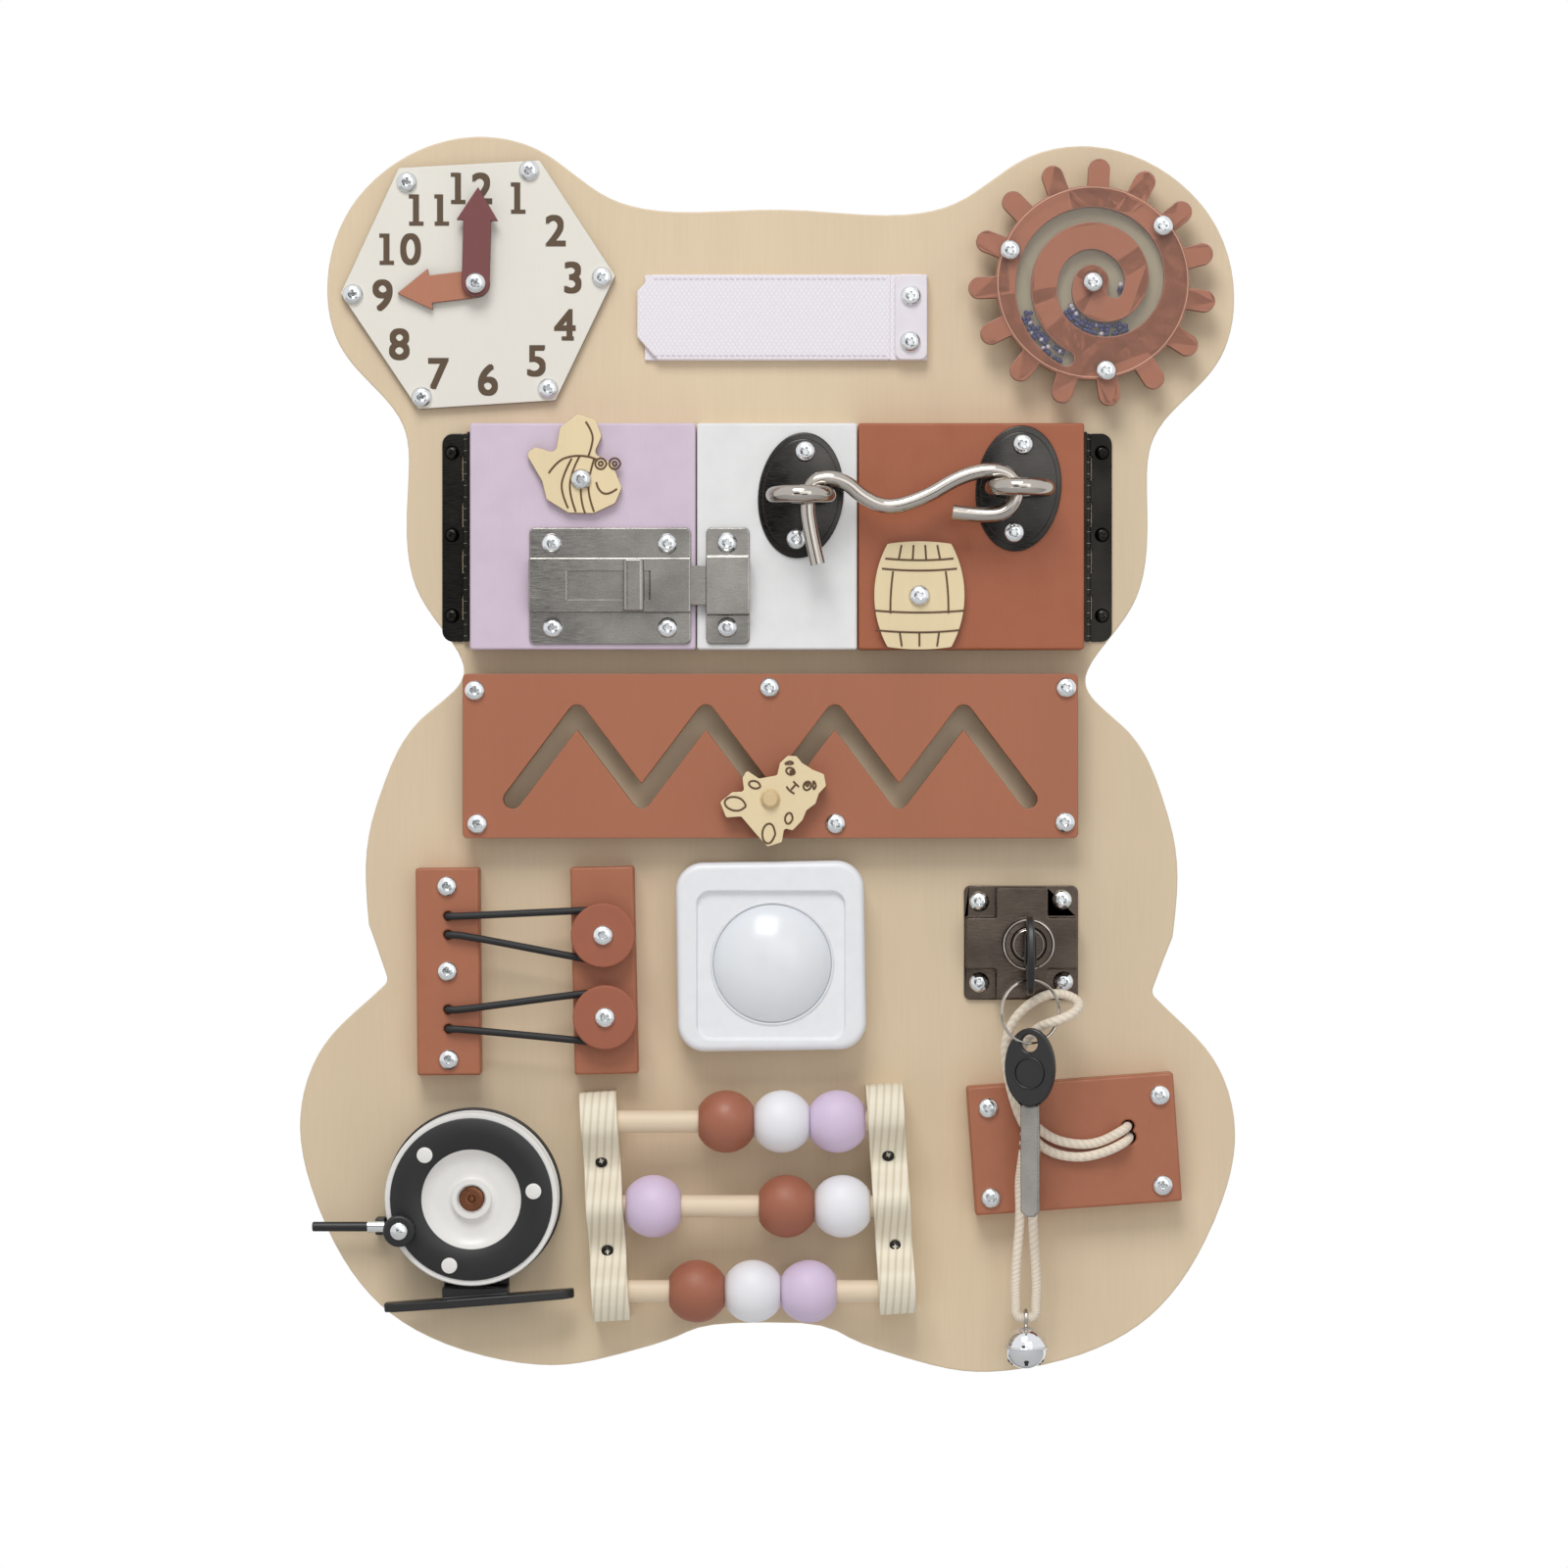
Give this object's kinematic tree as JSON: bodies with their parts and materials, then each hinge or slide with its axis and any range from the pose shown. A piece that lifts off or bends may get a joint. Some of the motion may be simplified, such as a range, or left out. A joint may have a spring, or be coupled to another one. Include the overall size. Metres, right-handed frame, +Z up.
{
  "type": "wooden busy board",
  "caption": "Bear-shaped wooden activity board with clock hands, maze wheel, latched doors, zigzag slider, sliding beads, toy reel, push light, lock with keys and a bell.",
  "frame": {"origin": "on the board's flat back, at the middle of the picture's frame about level with the zigzag panel", "axes": "+X right and +Z up as the board hangs, +Y into the wall, so the front faces -Y"},
  "size_m": [0.337, 0.0518, 0.4452],
  "materials": {
    "birch_ply": "clear satin lacquer, edges darker",
    "white_ply": "white satin paint with bare cut edges",
    "terracotta_ply": "terracotta stain, satin",
    "dark_red_ply": "dark red stain, satin",
    "lilac_paint": "lilac satin paint",
    "brown_paint": "brown satin paint",
    "white_paint": "white satin paint",
    "red_brown_paint": "red-brown satin paint",
    "webbing": "woven hook-and-loop tape",
    "screw_steel": "bright zinc",
    "black_iron": "black lacquer worn on the knuckles",
    "stainless": "brushed",
    "polished_steel": "polished",
    "clear_window": "clear acrylic",
    "navy_seed": "shiny",
    "khaki_floor": "plain board",
    "elastic": "covered round elastic",
    "white_plastic": "moulded",
    "milky_plastic": "milky dome",
    "dark_bronze": "dark bronzed",
    "black_plastic": "moulded",
    "cotton": "twisted cotton cord",
    "bell_metal": "polished"
  },
  "bodies": {
    "busy_board": {"board": "birch_ply", "clock_face": "white_ply", "strap_base": "webbing", "strap_clamp": "stainless", "fixed_screws": "screw_steel", "black_screws": "black_iron", "centre_block": "white_paint", "bolt_keeper": "stainless", "left_eye": "polished_steel", "board_hinge_leaves": "black_iron", "zigzag_panel": "terracotta_ply", "spacers": "birch_ply", "painted_blocks": "lilac_paint", "band_knobs": "birch_ply", "elastic_bands": "elastic", "light_housing": "white_plastic", "lock_case": "dark_bronze", "reel_frame": "black_plastic", "abacus_rails": "birch_ply", "abacus_rods": "birch_ply", "cotton_cords": "cotton"},
    "minute_hand": {"minute_hand": "dark_red_ply"},
    "hour_hand": {"hour_hand": "terracotta_ply"},
    "strap_flap": {"strap_flap": "webbing"},
    "maze_wheel": {"maze_floor": "khaki_floor", "maze_channel": "terracotta_ply", "maze_window": "clear_window", "maze_seeds": "navy_seed", "maze_screws": "screw_steel"},
    "left_door": {"lilac_door": "lilac_paint", "lilac_door_leaf": "black_iron", "bolt_case": "stainless", "lilac_door_screws": "screw_steel"},
    "door_bolt": {"bolt_bar": "stainless"},
    "bee": {"bee": "birch_ply"},
    "right_door": {"brown_door": "brown_paint", "brown_door_leaf": "black_iron", "right_eye": "polished_steel", "brown_door_screws": "screw_steel"},
    "cabin_hook": {"cabin_hook": "polished_steel"},
    "barrel": {"barrel": "birch_ply"},
    "slider_peg": {"slider_peg": "birch_ply"},
    "bear": {"bear": "birch_ply"},
    "light_dome": {"light_dome": "milky_plastic"},
    "lock_key": {"lock_plug": "polished_steel", "lock_key": "black_plastic"},
    "key_ring": {"key_ring": "polished_steel"},
    "spare_key": {"spare_key": "black_plastic"},
    "bell": {"bell": "bell_metal"},
    "reel_spool": {"reel_spool": "black_plastic"},
    "reel_knob": {"reel_knob": "black_plastic"},
    "top_brown_bead": {"top_brown_bead": "brown_paint"},
    "top_white_bead": {"top_white_bead": "white_paint"},
    "top_lilac_bead": {"top_lilac_bead": "lilac_paint"},
    "middle_lilac_bead": {"middle_lilac_bead": "lilac_paint"},
    "middle_brown_bead": {"middle_brown_bead": "brown_paint"},
    "middle_white_bead": {"middle_white_bead": "white_paint"},
    "bottom_brown_bead": {"bottom_brown_bead": "brown_paint"},
    "bottom_white_bead": {"bottom_white_bead": "white_paint"},
    "bottom_lilac_bead": {"bottom_lilac_bead": "lilac_paint"}
  },
  "joints": [
    {"name": "minute_hand_turn", "type": "hinge", "parent": "busy_board", "child": "minute_hand", "pos_m": [-0.1047, -0.0172, 0.1692], "axis": [0, 1, 0], "continuous": true},
    {"name": "hour_hand_turn", "type": "hinge", "parent": "busy_board", "child": "hour_hand", "pos_m": [-0.1047, -0.0145, 0.1692], "axis": [0, 1, 0], "continuous": true},
    {"name": "strap_peel", "type": "hinge", "parent": "busy_board", "child": "strap_flap", "pos_m": [0.0442, -0.0128, 0.1573], "axis": [0, 0, 1], "range_deg": [0, 90]},
    {"name": "maze_turn", "type": "hinge", "parent": "busy_board", "child": "maze_wheel", "pos_m": [0.1166, -0.018, 0.1691], "axis": [0, 1, 0], "continuous": true},
    {"name": "left_door_swing", "type": "hinge", "parent": "busy_board", "child": "left_door", "pos_m": [-0.1082, -0.01145, 0.0781], "axis": [0, 0, -1], "range_deg": [0, 85]},
    {"name": "right_door_swing", "type": "hinge", "parent": "busy_board", "child": "right_door", "pos_m": [0.1152, -0.01145, 0.0781], "axis": [0, 0, 1], "range_deg": [0, 85]},
    {"name": "bolt_slide", "type": "slide", "parent": "left_door", "child": "door_bolt", "axis": [-1, 0, 0], "range_m": [0, 0.018]},
    {"name": "bee_turn", "type": "hinge", "parent": "left_door", "child": "bee", "pos_m": [-0.0665, -0.0247, 0.0983], "axis": [0, 1, 0], "range_deg": [-68, 112]},
    {"name": "hook_lift", "type": "hinge", "parent": "right_door", "child": "cabin_hook", "pos_m": [0.0805, -0.0358, 0.0948], "axis": [0, 1, 0], "range_deg": [0, 100]},
    {"name": "barrel_turn", "type": "hinge", "parent": "right_door", "child": "barrel", "pos_m": [0.0544, -0.0247, 0.0568], "axis": [0, 1, 0], "continuous": true},
    {"name": "peg_slide", "type": "slide", "parent": "busy_board", "child": "slider_peg", "axis": [0.6033, 0, 0.7975], "range_m": [0, 0.038]},
    {"name": "bear_turn", "type": "hinge", "parent": "slider_peg", "child": "bear", "pos_m": [0.0011, -0.0267, -0.01605], "axis": [0, 1, 0], "continuous": true},
    {"name": "light_press", "type": "slide", "parent": "busy_board", "child": "light_dome", "axis": [0, 1, 0], "range_m": [0, 0.0025], "stiffness_N_per_m": 1500},
    {"name": "key_turn", "type": "hinge", "parent": "busy_board", "child": "lock_key", "pos_m": [0.0933, -0.03, -0.0679], "axis": [0, -1, 0], "range_deg": [0, 90], "deforming": ["cotton_cords"]},
    {"name": "ring_swing", "type": "hinge", "parent": "lock_key", "child": "key_ring", "pos_m": [0.0933, -0.0425, -0.0801], "axis": [-1, 0, 0], "range_deg": [0, 60], "deforming": ["cotton_cords"]},
    {"name": "spare_swing", "type": "hinge", "parent": "key_ring", "child": "spare_key", "pos_m": [0.0933, -0.0425, -0.1025], "axis": [-0.9272, -0.3746, 0], "range_deg": [0, 60], "deforming": ["cotton_cords"]},
    {"name": "bell_swing", "type": "hinge", "parent": "busy_board", "child": "bell", "pos_m": [0.0925, -0.024, -0.14], "axis": [0, 1, 0], "range_deg": [-30, 20], "deforming": ["cotton_cords"]},
    {"name": "reel_spin", "type": "hinge", "parent": "busy_board", "child": "reel_spool", "pos_m": [-0.1056, -0.0215, -0.1588], "axis": [0, 1, 0], "continuous": true},
    {"name": "reel_knob_turn", "type": "hinge", "parent": "reel_spool", "child": "reel_knob", "pos_m": [-0.131, -0.033, -0.1697], "axis": [0, 1, 0], "continuous": true},
    {"name": "top_lilac_slide", "type": "slide", "parent": "busy_board", "child": "top_lilac_bead", "axis": [1, 0, 0], "range_m": [-0.0092, 0]},
    {"name": "top_white_slide", "type": "slide", "parent": "top_lilac_bead", "child": "top_white_bead", "axis": [1, 0, 0], "range_m": [-0.0092, 0]},
    {"name": "top_brown_slide", "type": "slide", "parent": "top_white_bead", "child": "top_brown_bead", "axis": [1, 0, 0], "range_m": [-0.0092, 0]},
    {"name": "middle_lilac_slide", "type": "slide", "parent": "busy_board", "child": "middle_lilac_bead", "axis": [1, 0, 0], "range_m": [0, 0.0275]},
    {"name": "middle_white_slide", "type": "slide", "parent": "busy_board", "child": "middle_white_bead", "axis": [1, 0, 0], "range_m": [-0.0137, 0]},
    {"name": "middle_brown_slide", "type": "slide", "parent": "middle_white_bead", "child": "middle_brown_bead", "axis": [1, 0, 0], "range_m": [-0.0137, 0]},
    {"name": "bottom_white_slide", "type": "slide", "parent": "busy_board", "child": "bottom_white_bead", "axis": [1, 0, 0], "range_m": [-0.007, 0.007]},
    {"name": "bottom_brown_slide", "type": "slide", "parent": "bottom_white_bead", "child": "bottom_brown_bead", "axis": [1, 0, 0], "range_m": [-0.0068, 0]},
    {"name": "bottom_lilac_slide", "type": "slide", "parent": "bottom_white_bead", "child": "bottom_lilac_bead", "axis": [1, 0, 0], "range_m": [0, 0.007]}
  ]
}
